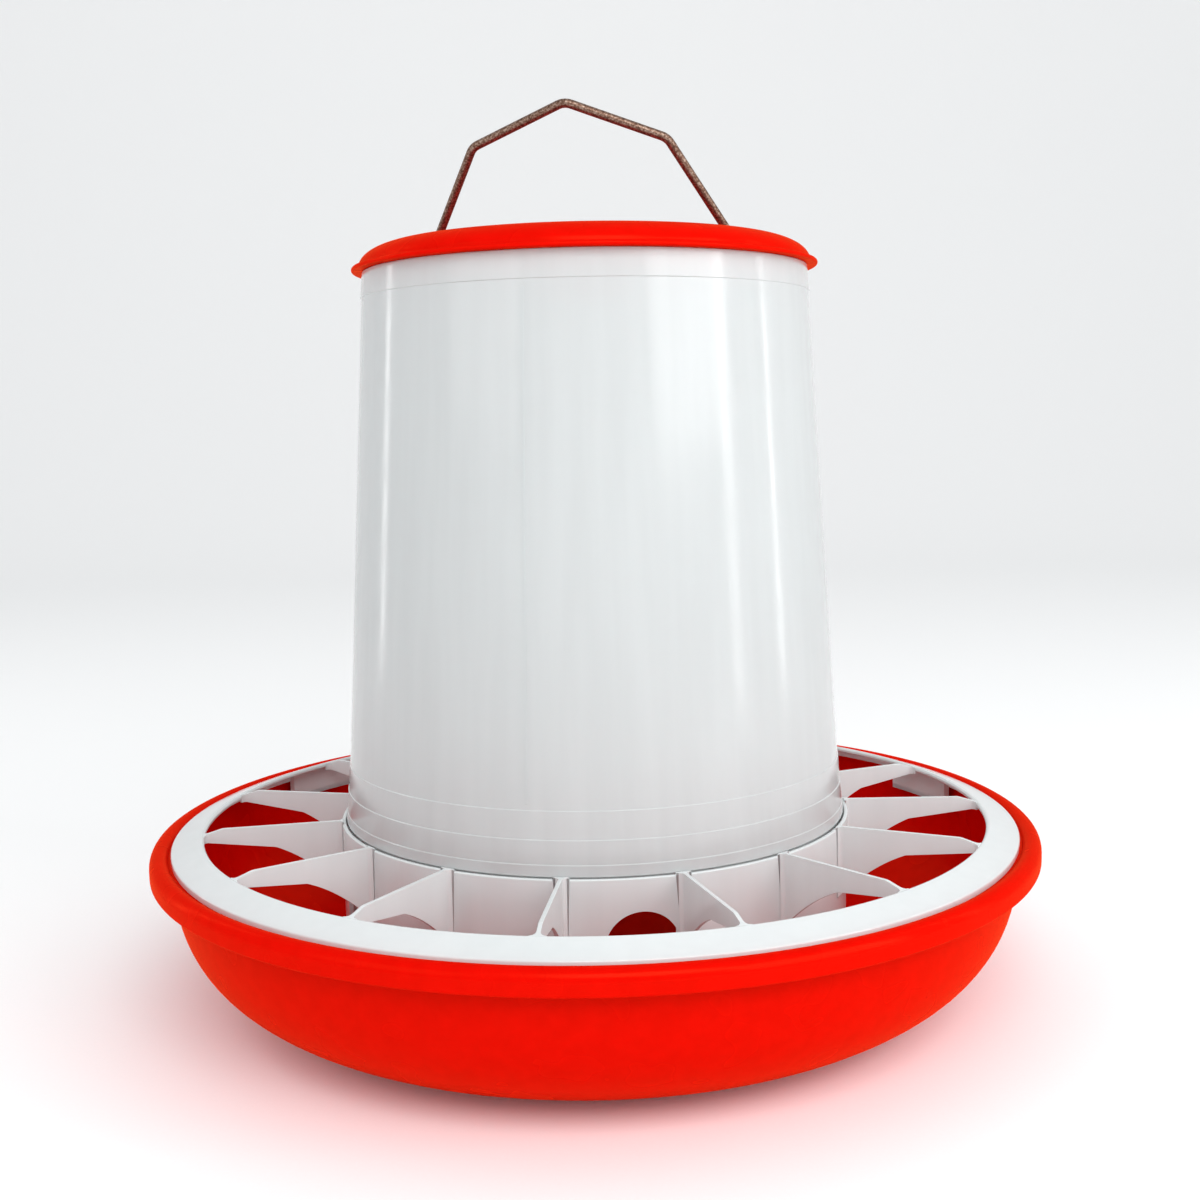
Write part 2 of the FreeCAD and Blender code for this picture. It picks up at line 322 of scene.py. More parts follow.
    @staticmethod
    def bevel(piece: Object, width: float, segments: int = 2, limit: float = 40.0) -> None:
        """Round the sharp edges of a piece.

        Args:
            piece: the piece to round.
            width: millimetres.
            segments: faces across each rounding.
            limit: edges sharper than this are rounded, degrees.
        """
        Bench.pick(piece)
        modifier = piece.modifiers.new("bevel", "BEVEL")
        modifier.width = width * MM
        modifier.segments = segments
        modifier.limit_method = "ANGLE"
        modifier.angle_limit = radians(limit)
        modifier.use_clamp_overlap = True
        bpy.ops.object.modifier_apply(modifier=modifier.name)

    @staticmethod
    def smooth(piece: Object) -> None:
        """Shade a piece smooth, with broad faces setting the shading beside roundings."""
        Bench.pick(piece)
        bpy.ops.object.shade_smooth_by_angle(angle=radians(SMOOTH_ANGLE))
        modifier = piece.modifiers.new("weighted", "WEIGHTED_NORMAL")
        modifier.keep_sharp = True
        bpy.ops.object.modifier_apply(modifier=modifier.name)

    @staticmethod
    def settle(piece: Object, body: Body, slot: Slot, finish: Material,
               nodes: Iterable[str]) -> None:
        """Dress a finished piece and put it on its body.

        Args:
            piece: the finished piece.
            body: the body it moves with.
            slot: the record's material slot; not used.
            finish: its material.
            nodes: CAD nodes it stands for.
        """
        Bench.smooth(piece)
        piece.data.materials.clear()
        piece.data.materials.append(finish)
        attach(piece, body.value)
        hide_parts(*nodes)
        low, high = (Vector(corner) / MM for corner in zip(*[
            (min(axis), max(axis)) for axis in zip(*[v.co for v in piece.data.vertices])]))
        log.info("%s: %d faces, %.1f to %.1f mm high, %.1f mm wide", piece.name,
                 len(piece.data.polygons), low.z, high.z, high.x - low.x)


@dataclass(frozen=True)
class Lock:
    """Three ledges or lugs of a twist lock."""
    name: str
    inner: float
    outer: float
    bottom: float
    top: float
    span: float
    turn: float
    count: int = 3
    rounding: float = 0.3

    def blocks(self) -> list[Object]:
        """Model the first block and copy it round.

        Returns:
            The blocks.
        """
        corners = [Corner(self.inner, self.bottom, self.rounding),
                   Corner(self.outer, self.bottom, self.rounding),
                   Corner(self.outer, self.top, self.rounding),
                   Corner(self.inner, self.top, self.rounding)]
        first = Bench.block(self.name, corners, self.turn, self.span)
        found = [first]
        for number in range(1, self.count):
            other = Bench.copy(first, f"{self.name}_{number + 1}")
            Bench.rotate(other, "Z", 360.0 * number / self.count)
            found.append(other)
        return found


LEDGE_SPAN = 20.0         # width of a lock's ledge, degrees
LUG_SPAN = 18.0           # width of a lock's lug, degrees
LOCK_TURN = 40.0          # turn from locked to released, degrees
VANE_PHASE = -6.85        # azimuth of the first vane


@dataclass
class Trough:
    """Red trough: foot ring, feed cone, curved wall and a rolled rim."""
    wall: float = 2.2
    radius: float = 192.0
    rim_top: float = 73.0
    lip_bottom: float = 63.4
    bowl_top: float = 64.0
    bowl_radius: float = 182.7
    floor_radius: float = 90.9
    cone_radius: float = 78.0
    cone_top: float = 60.0
    cone_nose: float = 9.0
    bead_centre: float = 68.2
    bead_half_width: float = 4.2
    flank: float = 183.6
    shoulder: float = 70.4
    flatness: float = 2 / 2.68
    depth: float = 2 / 2.26
    curve_steps: int = 26
    ledge_inner: float = 178.4
    ledge_rise: float = 0.4     # underside of the lock's ledges above the bowl
    ledge_thick: float = 2.4    # top of the ledges above the bowl

    def bowl_curve(self, inset: float, rising: bool) -> list[Corner]:
        """Points of the bowl's superelliptic wall.

        Args:
            inset: 0 for the outside, the wall's thickness for the inside.
            rising: whether the points run upwards.

        Returns:
            The curve's points.
        """
        found = []
        for step in range(self.curve_steps + 1):
            share = step / self.curve_steps
            angle = 0.5 * pi * (1 - share if rising else share)
            reach = (self.bowl_radius - inset - self.floor_radius) * max(cos(angle), 0.0) ** self.flatness
            drop = (self.bowl_top - inset) * sin(angle) ** self.depth
            found.append(Corner(self.floor_radius + reach, self.bowl_top - drop))
        return found

    def rim(self) -> list[Corner]:
        """Rolled rim from the top of the outer wall to the top of the inner wall.

        Returns:
            The rim's corners.
        """
        lip = self.radius - self.wall
        root = self.flank + 1.8
        bead = Corner(self.radius - self.bead_half_width, self.bead_centre)
        crown = oval(bead, self.bead_half_width, self.rim_top - self.bead_centre, 0, 150, 22)
        return [Corner(root, self.bowl_top + 2.6, 0.8), Corner(root, self.rim_top - self.wall, 1.6),
                Corner(lip, self.rim_top - self.wall, 1.8), Corner(lip, self.lip_bottom, 0.8),
                Corner(self.radius, self.lip_bottom, 1.2), *crown,
                Corner(self.flank, self.shoulder, 0.1),
                Corner(self.bowl_radius - self.wall, self.shoulder, 0.6)]

    def outline(self) -> Outline:
        """The whole section, from under the feed cone's tip round to its top.

        Returns:
            Points that start and end on the axis.
        """
        nose = self.cone_top - 0.35 * self.cone_nose
        tip = 0.4 * self.cone_nose
        under = [Corner(0, self.cone_top - self.wall), Corner(tip, self.cone_top - self.wall),
                 Corner(self.cone_nose - 1, nose - self.wall - 0.6, 3.0),
                 Corner(self.cone_radius - 6, 0, 1.0)]
        over = [Corner(self.cone_radius - 4, self.wall + 0.6, 6.0),
                Corner(self.cone_nose, nose, 5.0), Corner(tip, self.cone_top), Corner(0, self.cone_top)]
        corners = [*under, *self.bowl_curve(0, True), *self.rim(), *self.bowl_curve(self.wall, False), *over]
        return rounded(corners, closed=False)

    def build(self, finish: Material) -> None:
        """Model, dress and place the trough."""
        trough = Bench.lathe("Trough", self.outline())
        inside = self.bowl_radius - self.wall
        ledges = Lock("trough_ledge", self.ledge_inner, inside + 1.0, self.bowl_top + self.ledge_rise,
                      self.bowl_top + self.ledge_thick, LEDGE_SPAN, VANE_PHASE + LOCK_TURN)
        Bench.join(trough, ledges.blocks())
        Bench.settle(trough, Body.TRAY, Slot.RED, finish,
                     ["tray_rim", "tray_wall_upper", "tray_wall_lower", "tray_floor", "tray_cone"])


@dataclass
class Grill:
    """White feeding grill: ring, collar with feed arches, and upright vanes."""
    ring_inner: float = 169.5
    ring_outer: float = 183.2
    ring_bottom: float = 70.4
    ring_edge_top: float = 73.0
    ring_top: float = 77.2
    wall: float = 2.2
    foot: float = 177.0
    tab_inner: float = 174.8
    tab_outer: float = 177.4
    tab_bottom: float = 61.2
    tab_span: float = 14.0
    collar_outer: float = 111.6
    collar_inner: float = 109.8
    collar_bottom: float = 3.2
    collar_top: float = 78.0
    seat_inner: float = 104.4
    seat_bottom: float = 66.3
    seat_top: float = 68.5
    arch_width: float = 29.2
    arch_top: float = 65.0
    arch_count: int = 5
    arch_phase: float = 8.9
    vane_count: int = 15
    vane_thick: float = 1.6
    vane_top: float = 79.0
    vane_level: float = 162.0
    vane_end: float = 172.6
    vane_end_height: float = 76.0
    vane_under: float = 73.4
    bend_reach: float = 140.0
    bend_height: float = 69.4
    vane_root: float = 48.4
    sweep_start: float = 0.54   # slope of the underside after its bend, against a straight run
    sweep_steps: int = 16
    fillet: float = 2.4
    fillet_cuts: tuple[float, ...] = (1.0, 0.7, 0.45, 0.25, 0.1, 0.0)
    vane_edge: float = 0.28
    lug_reach: float = 2.2
    lug_thick: float = 2.4
    ledge_inner: float = 107.9

    def under(self, reach: float, rounding: float = 0.0) -> Corner:
        """Corner on the underside of the ring's sloping plate."""
        slope = (self.ring_top - self.ring_edge_top) / (self.ring_outer - self.ring_inner)
        return Corner(reach, self.ring_top - self.wall - slope * (reach - self.ring_inner), rounding)

    def ring(self, finish: Material) -> None:
        """Model the ring with the three tabs that carry its lugs."""
        corners = [self.under(self.ring_inner, 0.6), self.under(self.foot, 0.5),
                   Corner(self.foot, self.ring_bottom, 0.5), Corner(self.ring_outer, self.ring_bottom, 0.3),
                   Corner(self.ring_outer, self.ring_edge_top, 0.9),
                   Corner(self.ring_inner + 0.8, self.ring_top, 1.2),
                   Corner(self.ring_inner, self.ring_top - 1.0, 0.4)]
        ring = Bench.lathe("Grill_ring", rounded(corners))
        tab_top = self.under(self.tab_inner).height + 0.6
        tabs = Lock("ring_tab", self.tab_inner, self.tab_outer, self.tab_bottom, tab_top, self.tab_span,
                    VANE_PHASE)
        lugs = Lock("ring_lug", self.tab_inner, self.tab_outer + self.lug_reach, self.tab_bottom,
                    self.tab_bottom + self.lug_thick, self.tab_span, VANE_PHASE)
        Bench.join(ring, tabs.blocks() + lugs.blocks())
        Bench.settle(ring, Body.GRILL, Slot.WHITE, finish, ["grill_ring"])

    def arch_tool(self, azimuth: float) -> Object:
        """Round-headed cutter through the collar's wall.

        Args:
            azimuth: direction of the opening.

        Returns:
            The cutter.
        """
        half = 0.5 * self.arch_width
        depth = self.collar_outer - self.seat_inner + 4
        reach = self.seat_inner - 2
        head = oval(Corner(0, self.arch_top - half), half, half, 0, 180, 28)
        points = [(-half, 0.0)] + [(c.reach, c.height) for c in reversed(head)] + [(half, 0.0), (-half, 0.0)]
        tool = Bench.draw("arch_tool", points)
        bpy.ops.mesh.edge_face_add()
        bpy.ops.transform.translate(value=(0, -reach * MM, 0))
        bpy.ops.mesh.extrude_region_move(TRANSFORM_OT_translate={"value": (0, -depth * MM, 0)})
        Bench.close()
        Bench.rotate(tool, "Z", azimuth)
        return tool

    def collar(self, finish: Material) -> None:
        """Model the collar with the hopper's seat, its lock ledges and the feed arches."""
        corners = [Corner(self.collar_inner, self.collar_bottom, 0.3),
                   Corner(self.collar_outer, self.collar_bottom, 0.3),
                   Corner(self.collar_outer, self.collar_top, 0.6),
                   Corner(self.collar_inner, self.collar_top, 0.6),
                   Corner(self.collar_inner, self.seat_top, 0.3), Corner(self.seat_inner, self.seat_top, 0.5),
                   Corner(self.seat_inner, self.seat_bottom, 0.5),
                   Corner(self.collar_inner, self.seat_bottom, 0.3)]
        collar = Bench.lathe("Grill_collar", rounded(corners))
        for number in range(self.arch_count):
            tool = self.arch_tool(self.arch_phase + 360.0 * number / self.arch_count)
            Bench.combine(collar, tool, "DIFFERENCE")
        ledges = Lock("collar_ledge", self.ledge_inner, self.collar_inner + 0.5, self.seat_top + 3.5,
                      self.seat_top + 6.0, LEDGE_SPAN, 0.0)
        Bench.join(collar, ledges.blocks())
        Bench.settle(collar, Body.GRILL, Slot.WHITE, finish, ["grill_collar"])

    def vane_outline(self) -> Outline:
        """Side view of one vane, from the collar to where it runs out on the ring.

        Returns:
            The closed outline.
        """
        root = self.collar_outer - 0.6
        foot = self.ring_inner + 0.9
        fall = self.bend_height - self.vane_root
        run = self.bend_reach - self.collar_outer
        sweep = []
        for step in range(1, self.sweep_steps + 1):
            share = step / self.sweep_steps
            drop = fall * (self.sweep_start * share + (1 - self.sweep_start) * share ** 2)
            sweep.append(Corner(self.bend_reach - run * share, self.bend_height - drop))
        corners = [Corner(root, self.vane_top), Corner(self.vane_level, self.vane_top, 6.0),
                   Corner(self.vane_end, self.vane_end_height), Corner(foot, self.ring_top - 0.5 * self.wall),
                   Corner(foot, self.vane_under), Corner(self.ring_inner - 1.5, self.vane_under - 0.2),
                   Corner(self.bend_reach, self.bend_height, 3.0), *sweep, Corner(root, self.vane_root)]
        return rounded(corners)

    def flare(self, vane: Object, face: float, inwards: int) -> None:
        """Thicken a vane where it meets a wall, as a moulded fillet.

        Args:
            vane: the vane, lying along X.
            face: reach of the wall's face.
            inwards: 1 when the vane runs outwards from the face, -1 when it runs inwards.
        """
        half = 0.5 * self.vane_thick
        places = [face + inwards * share * self.fillet for share in self.fillet_cuts]
        Bench.edit_all(vane)
        for place in places:
            bpy.ops.mesh.select_all(action="SELECT")
            bpy.ops.mesh.bisect(plane_co=(place * MM, 0, 0), plane_no=(1, 0, 0))
        bpy.ops.object.mode_set(mode="OBJECT")
        # All cuts come before any widening, so that no cut starts from a part already widened.
        for share, place in zip(self.fillet_cuts, places):
            swell = self.fillet * (1 - (1 - (1 - share) ** 2) ** 0.5)
            Bench.select_where(vane, lambda co: abs(co.x - place) < NEAR)
            bpy.ops.transform.resize(value=(1, (half + swell) / half, 1), center_override=(0, 0, 0))
            bpy.ops.object.mode_set(mode="OBJECT")
        Bench.select_where(vane, lambda co: inwards * (co.x - face) < -0.1)
        bpy.ops.transform.resize(value=(1, (half + self.fillet) / half, 1), center_override=(0, 0, 0))
        bpy.ops.object.mode_set(mode="OBJECT")

    def vanes(self, finish: Material) -> None:
        """Model one vane, then copy it round the collar."""
        first = Bench.draw("Vane", self.vane_outline())
        bpy.ops.mesh.edge_face_add()
        bpy.ops.transform.translate(value=(0, -0.5 * self.vane_thick * MM, 0))
        bpy.ops.mesh.extrude_region_move(TRANSFORM_OT_translate={"value": (0, self.vane_thick * MM, 0)})
        Bench.close()
        Bench.bevel(first, self.vane_edge, 2, 50.0)
        self.flare(first, self.collar_outer, 1)
        self.flare(first, self.ring_inner, -1)
        for number in range(self.vane_count):
            vane = Bench.copy(first, f"Grill_vane_{number + 1:02d}")
            Bench.rotate(vane, "Z", VANE_PHASE + 360.0 * number / self.vane_count - 90)
            Bench.settle(vane, Body.GRILL, Slot.WHITE, finish, [f"grill_vane_{number + 1:02d}"])
        bpy.data.objects.remove(first)

    def build(self, finish: Material) -> None:
        """Model, dress and place the grill's pieces."""
        self.ring(finish)
        self.collar(finish)
        self.vanes(finish)


@dataclass
class Hopper:
    """White hopper: tapered tube with a straight foot, fine steps and a band at the mouth."""
    wall: float = 2.2
    foot: float = 109.2
    foot_height: float = 68.0
    head: float = 94.6
    top: float = 312.0
    spigot: float = 107.4
    spigot_bottom: float = 68.5
    spigot_top: float = 78.1
    step: float = 0.3
    step_heights: tuple[float, ...] = (82.6, 92.0, 103.0)
    band: float = 11.0
    band_step: float = 0.35
    seam_azimuth: float = -14.0
    seam_width: float = 0.9
    seam_height: float = 0.12
    lug_outer: float = 109.3
    lug_thick: float = 3.0
    ledge_inner: float = 90.4
    ledge_top: float = 297.0
    ledge_thick: float = 2.0

    def radius(self, height: float) -> float:
        """Outside radius of the plain cone at a height."""
        share = (height - self.foot_height) / (self.top - self.foot_height)
        return self.foot + (self.head - self.foot) * share

    def outline(self) -> Outline:
        """Section of the tube.

        Returns:
            The closed outline.
        """
        swell = self.step * len(self.step_heights)
        corners = [Corner(self.spigot, self.spigot_bottom, 0.5), Corner(self.spigot, self.spigot_top, 0.3),
                   Corner(self.radius(self.spigot_top) + swell, self.spigot_top, 0.5)]
        for height in self.step_heights:
            corners.append(Corner(self.radius(height) + swell, height, 0.12))
            swell -= self.step
            corners.append(Corner(self.radius(height) + max(swell, 0.0), height + self.step, 0.12))
        band = self.top - self.band
        corners += [Corner(self.radius(band), band, 0.12),
                    Corner(self.radius(band) + self.band_step, band + self.band_step, 0.12),
                    Corner(self.head, self.top, 0.7), Corner(self.head - self.wall, self.top, 0.7),
                    Corner(self.radius(self.step_heights[0]) - self.wall, self.step_heights[0], 2.0),
                    Corner(self.spigot - self.wall, self.spigot_top - 1.0, 2.0),
                    Corner(self.spigot - self.wall, self.spigot_bottom, 0.5)]
        return rounded(corners)

    def seam(self, azimuth: float) -> Object:
        """Fine parting line left by the mould, up the outside.

        Args:
            azimuth: where it runs.

        Returns:
            A thin rib that just stands out of the wall.
        """
        low, high = self.step_heights[-1] + 2, self.top - self.band - 2
        corners = [Corner(self.radius(low) - 0.5, low),
                   Corner(self.radius(low) + self.seam_height, low + 0.6),
                   Corner(self.radius(high) + self.seam_height, high - 0.6),
                   Corner(self.radius(high) - 0.5, high)]
        return Bench.block("hopper_seam", corners, azimuth, degrees(self.seam_width / self.foot))

    def build(self, finish: Material) -> None:
        """Model, dress and place the hopper."""
        hopper = Bench.lathe("Hopper", self.outline(), 2 * TURN_STEPS)
        lugs = Lock("hopper_lug", self.spigot - 0.6, self.lug_outer, self.spigot_bottom,
                    self.spigot_bottom + self.lug_thick, LUG_SPAN, 0.0)
        ledges = Lock("hopper_ledge", self.ledge_inner, self.radius(self.ledge_top) - self.wall + 0.8,
                      self.ledge_top - self.ledge_thick, self.ledge_top, LEDGE_SPAN, LOCK_TURN)
        seams = [self.seam(self.seam_azimuth), self.seam(self.seam_azimuth + 180)]
        Bench.join(hopper, lugs.blocks() + ledges.blocks() + seams)
        Bench.settle(hopper, Body.HOPPER, Slot.WHITE, finish, ["hopper_shell"])


@dataclass
class Pivot:
    """Where the bail turns in the lid."""
    height: float = 308.0
    turn: float = -10.0
    wire: float = 3.6

    def place(self, piece: Object) -> None:
        """Move a piece drawn about the pivot, with the axis along X, into the feeder."""
        Bench.rotate(piece, "Z", self.turn)
        Bench.raise_by(piece, self.height)


@dataclass
class Lid:
    """Red lid: thin flange, wide soft shoulder and a sunk well with ears for the bail."""
    pivot: Pivot
    flange: float = 99.0
    flange_bottom: float = 312.0
    flange_top: float = 313.8
    shoulder: float = 96.0
    shoulder_centre: float = 77.8
    shoulder_rise: float = 9.5
    crest_angle: float = 68.0
    top: float = 322.6
    plug_outer: float = 91.6
    plug_inner: float = 89.2
    roof: tuple[float, float] = (319.0, 317.6)
    well_outer: float = 84.5
    well_inner: float = 82.3
    well_floor: float = 303.0
    well_bottom: float = 301.0
    ear_inner: float = 77.3
    ear_outer: float = 81.0
    ear_radius: float = 4.6
    gate_radius: float = 4.0
    ear_clearance: float = 0.05
    ear_edge: float = 0.4
    hook_depth: float = 9.0
    hook_thick: float = 1.8
    hook_tip: float = 2.4

    def outline(self) -> Outline:
        """Section of the lid from under its middle round to the well's floor.

        Returns:
            Points that start and end on the axis.
        """
        curve = oval(Corner(self.shoulder_centre, self.flange_top), self.shoulder - self.shoulder_centre,
                     self.shoulder_rise - 0.1, 0, self.crest_angle, 20)
        corners = [Corner(0, self.well_bottom), Corner(self.well_outer, self.well_bottom, 1.6),
                   Corner(self.well_outer, self.roof[0], 0.6), Corner(self.plug_inner, self.roof[1], 0.6),
                   Corner(self.plug_inner, self.well_bottom, 0.5),
                   Corner(self.plug_outer, self.well_bottom, 0.5),
                   Corner(self.plug_outer, self.flange_bottom, 0.3),
                   Corner(self.flange, self.flange_bottom, 0.85), Corner(self.flange, self.flange_top, 0.85),
                   Corner(self.shoulder + 0.4, self.flange_top, 0.35), *curve[1:],
                   Corner(self.well_inner + 1.0, self.top, 0.9), Corner(self.well_inner, self.top - 1.2, 0.6),
                   Corner(self.well_inner, self.well_floor, 1.6),
                   Corner(self.gate_radius, self.well_floor, 0.2),
                   Corner(self.gate_radius - 0.3, self.well_floor + 0.4, 0.2),
                   Corner(0, self.well_floor + 0.4)]
        return rounded(corners, closed=False)

    def ear(self, side: Side) -> Object:
        """Ear with the hole for one of the bail's feet.

        Args:
            side: which end of the pivot axis.

        Returns:
            The ear in place.
        """
        width = self.ear_outer - self.ear_inner
        middle = side.value * (self.ear_inner + 0.5 * width) * MM
        depth = self.pivot.height - self.well_floor + 0.6
        along = (0, pi / 2, 0)
        bpy.ops.object.select_all(action="DESELECT")
        bpy.ops.mesh.primitive_cylinder_add(vertices=48, radius=self.ear_radius * MM, depth=width * MM,
                                            location=(middle, 0, 0), rotation=along)
        ear = Bench.named(f"lid_ear_{side.name.lower()}")
        bpy.ops.object.select_all(action="DESELECT")
        bpy.ops.mesh.primitive_cube_add(size=1, location=(middle, 0, -0.5 * depth * MM),
                                        scale=(width * MM, 2.0 * self.ear_radius * MM, depth * MM))
        Bench.combine(ear, Bench.named("ear_post"), "UNION")
        bpy.ops.object.select_all(action="DESELECT")
        hole = 0.5 * self.pivot.wire + self.ear_clearance
        bpy.ops.mesh.primitive_cylinder_add(vertices=32, radius=hole * MM, depth=3 * width * MM,
                                            location=(middle, 0, 0), rotation=along)
        Bench.combine(ear, Bench.named("ear_drill"), "DIFFERENCE")
        Bench.bevel(ear, self.ear_edge, 2, 50.0)
        self.pivot.place(ear)
        return ear

    def build(self, finish: Material) -> None:
        """Model, dress and place the lid."""
        lid = Bench.lathe("Lid", self.outline())
        stem = self.plug_outer - 1.6
        low = self.well_bottom - self.hook_depth
        inner = stem - self.hook_thick
        stems = Lock("lid_hook", inner, stem, low, self.well_bottom + 1.0, LUG_SPAN, 0.0)
        tips = Lock("lid_hook_tip", inner, self.plug_outer + 0.4, low, low + self.hook_tip, LUG_SPAN, 0.0)
        Bench.join(lid, [self.ear(side) for side in Side] + stems.blocks() + tips.blocks())
        Bench.settle(lid, Body.LID, Slot.RED, finish, ["lid_pan"])


@dataclass
class Bail:
    """Handle bent from round wire: two feet, two legs and a shallow peak."""
    pivot: Pivot
    lean: float = 30.3
    half_width: float = 73.6
    foot_end: float = 80.4
    shoulder_half: float = 40.1
    shoulder_height: float = 60.9
    peak: float = 77.6
    bend: float = 7.0
    foot_bend: float = 3.5
    facets: int = 28
    bend_steps: int = 10
    end_edge: float = 0.35

    def route(self) -> list[tuple[Vector, float]]:
        """Corners of the wire's centre line with their bend radii.

        Returns:
            (point, radius) pairs from one foot to the other.
        """
        right = [(Vector((self.foot_end, 0, 0)), 0.0), (Vector((self.half_width, 0, 0)), self.foot_bend),
                 (Vector((self.shoulder_half, 0, self.shoulder_height)), self.bend)]
        left = [(Vector((-point.x, 0, point.z)), radius) for point, radius in reversed(right)]
        return right + [(Vector((0, 0, self.peak)), self.bend)] + left

    def draw_wire(self) -> Object:
        """Draw the wire by extruding its end and spinning it round each bend.

        Returns:
            The wire in the XZ plane about the pivot.
        """
        route = self.route()
        bpy.ops.object.select_all(action="DESELECT")
        bpy.ops.mesh.primitive_circle_add(vertices=self.facets, radius=0.5 * self.pivot.wire * MM,
                                          fill_type="NGON", location=route[0][0] * MM,
                                          rotation=(0, pi / 2, 0))
        wire = Bench.named("Bail")
        Bench.edit_all(wire)
        here = route[0][0]
        for (before, _), (corner, radius), (after, _) in zip(route, route[1:], route[2:]):
            back = (before - corner).normalized()
            ahead = (after - corner).normalized()
            half = 0.5 * back.angle(ahead)
            first = corner + back * radius / tan(half)
            centre = corner + (back + ahead).normalized() * radius / sin(half)
            bpy.ops.mesh.extrude_region_move(TRANSFORM_OT_translate={"value": (first - here) * MM})
            turn_axis = back.cross(ahead).normalized()
            bpy.ops.mesh.spin(steps=self.bend_steps, angle=pi - 2 * half, center=centre * MM,
                              axis=turn_axis)
            here = corner + ahead * radius / tan(half)
        bpy.ops.mesh.extrude_region_move(TRANSFORM_OT_translate={"value": (route[-1][0] - here) * MM})
        Bench.close()
        return wire

    def build(self, finish: Material) -> None:
        """Model, dress and place the bail."""
        wire = self.draw_wire()
        Bench.bevel(wire, self.end_edge, 2, 60.0)
        Bench.rotate(wire, "X", self.lean)
        self.pivot.place(wire)
        Bench.settle(wire, Body.BAIL, Slot.WIRE, finish, ["bail_wire"])


def linear(code: str) -> tuple[float, float, float, float]:
    """Turn an sRGB hex colour into a linear one.

    Args:
        code: six hex digits after a hash.

    Returns:
        Linear red, green, blue and full alpha.
    """
    channels = [int(code[i:i + 2], 16) / 255 for i in (1, 3, 5)]
    shades = [c / 12.92 if c <= 0.04045 else ((c + 0.055) / 1.055) ** 2.4 for c in channels]
    return (*shades, 1.0)


def add_node(tree: bpy.types.NodeTree, kind: str, **settings: object) -> bpy.types.Node:
    """Add a node with its settings and links.

    Args:
        tree: the material's node tree.
        kind: the node's type.
        settings: attributes by name, and inputs by name with spaces as underscores. An input takes
            a value, or an output socket to link from.

    Returns:
        The node.
    """
    node = tree.nodes.new(kind)
    for name, value in settings.items():
        if hasattr(node, name):
            setattr(node, name, value)
            continue
        wanted = name.replace("_", " ").lower()
        socket = next(s for s in node.inputs if s.name.lower() == wanted and s.enabled)
        if isinstance(value, bpy.types.NodeSocket):
            tree.links.new(value, socket)
        else:
            socket.default_value = value
    return node


@dataclass(frozen=True)
class GlossPolypropylene:
    """Injection-moulded polypropylene: waxy gloss, slight waviness, lets a little light through."""
    name: str
    colour: str
    shade: str
    roughness: tuple[float, float]
    sheen: str = "#FFFFFF"    # tint of the mirrored light
    glow: float = 0.15        # share of light that passes through the wall
    index: float = 1.49
    stretch: float = 0.03     # 1 for an even pattern, less for upright streaks
    wave: float = 18.0        # spacing of the surface's slow waviness
    wave_height: float = 0.03
    grain: float = 0.55       # spacing of the fine handling scuffs
    streak: float = 7.0       # spacing of the upright flow streaks
    streak_height: float = 0.012
    scuff_height: float = 0.001
    body_roughness: float = 0.6

    def make(self) -> Material:
        """Build the material.

        Returns:
            The finished material.
        """
        material = bpy.data.materials.new(self.name)
        material.use_nodes = True
        tree = material.node_tree
        tree.nodes.clear()
        place = add_node(tree, "ShaderNodeTexCoord").outputs["Object"]
        slow = add_node(tree, "ShaderNodeTexNoise", Vector=place, Scale=1 / (self.wave * MM), Detail=1.0)
        upright = add_node(tree, "ShaderNodeMapping", Vector=place, Scale=(1.0, 1.0, self.stretch))
        flow = add_node(tree, "ShaderNodeTexNoise", Vector=upright.outputs[0],
                        Scale=1 / (self.streak * MM), Detail=2.0)
        fine = add_node(tree, "ShaderNodeTexNoise", Vector=place, Scale=1 / (self.grain * MM), Detail=2.0)
        tint = add_node(tree, "ShaderNodeMapRange", Value=flow.outputs["Fac"], From_Min=0.35, From_Max=0.65)
        colour = add_node(tree, "ShaderNodeMixRGB", Fac=tint.outputs[0], Color1=linear(self.colour),
                          Color2=linear(self.shade))
        low, high = self.roughness
        rough = add_node(tree, "ShaderNodeMapRange", Value=slow.outputs["Fac"], From_Min=0.3, From_Max=0.7,
                         To_Min=low, To_Max=high)
        wavy = add_node(tree, "ShaderNodeBump", Height=slow.outputs["Fac"], Distance=self.wave_height * MM)
        drawn = add_node(tree, "ShaderNodeBump", Height=flow.outputs["Fac"], Normal=wavy.outputs[0],
                         Distance=self.streak_height * MM)
        scuffed = add_node(tree, "ShaderNodeBump", Height=fine.outputs["Fac"], Normal=drawn.outputs[0],
                           Distance=self.scuff_height * MM)
        body = add_node(tree, "ShaderNodeBsdfPrincipled", Base_Color=colour.outputs[0],
                        Roughness=self.body_roughness, Specular_IOR_Level=0.0, Normal=wavy.outputs[0])
        through = add_node(tree, "ShaderNodeBsdfTranslucent", Color=colour.outputs[0])
        wall = add_node(tree, "ShaderNodeMixShader", Fac=self.glow)
        skin = add_node(tree, "ShaderNodeBsdfGlossy", Color=linear(self.sheen), Roughness=rough.outputs[0],
                        Normal=scuffed.outputs[0])
        facing = add_node(tree, "ShaderNodeFresnel", IOR=self.index)
        glossy = add_node(tree, "ShaderNodeMixShader", Fac=facing.outputs[0])
        for mix, first, second in ((wall, body, through), (glossy, wall, skin)):
            tree.links.new(first.outputs[0], mix.inputs[1])
            tree.links.new(second.outputs[0], mix.inputs[2])
        add_node(tree, "ShaderNodeOutputMaterial", Surface=glossy.outputs[0])
        return material


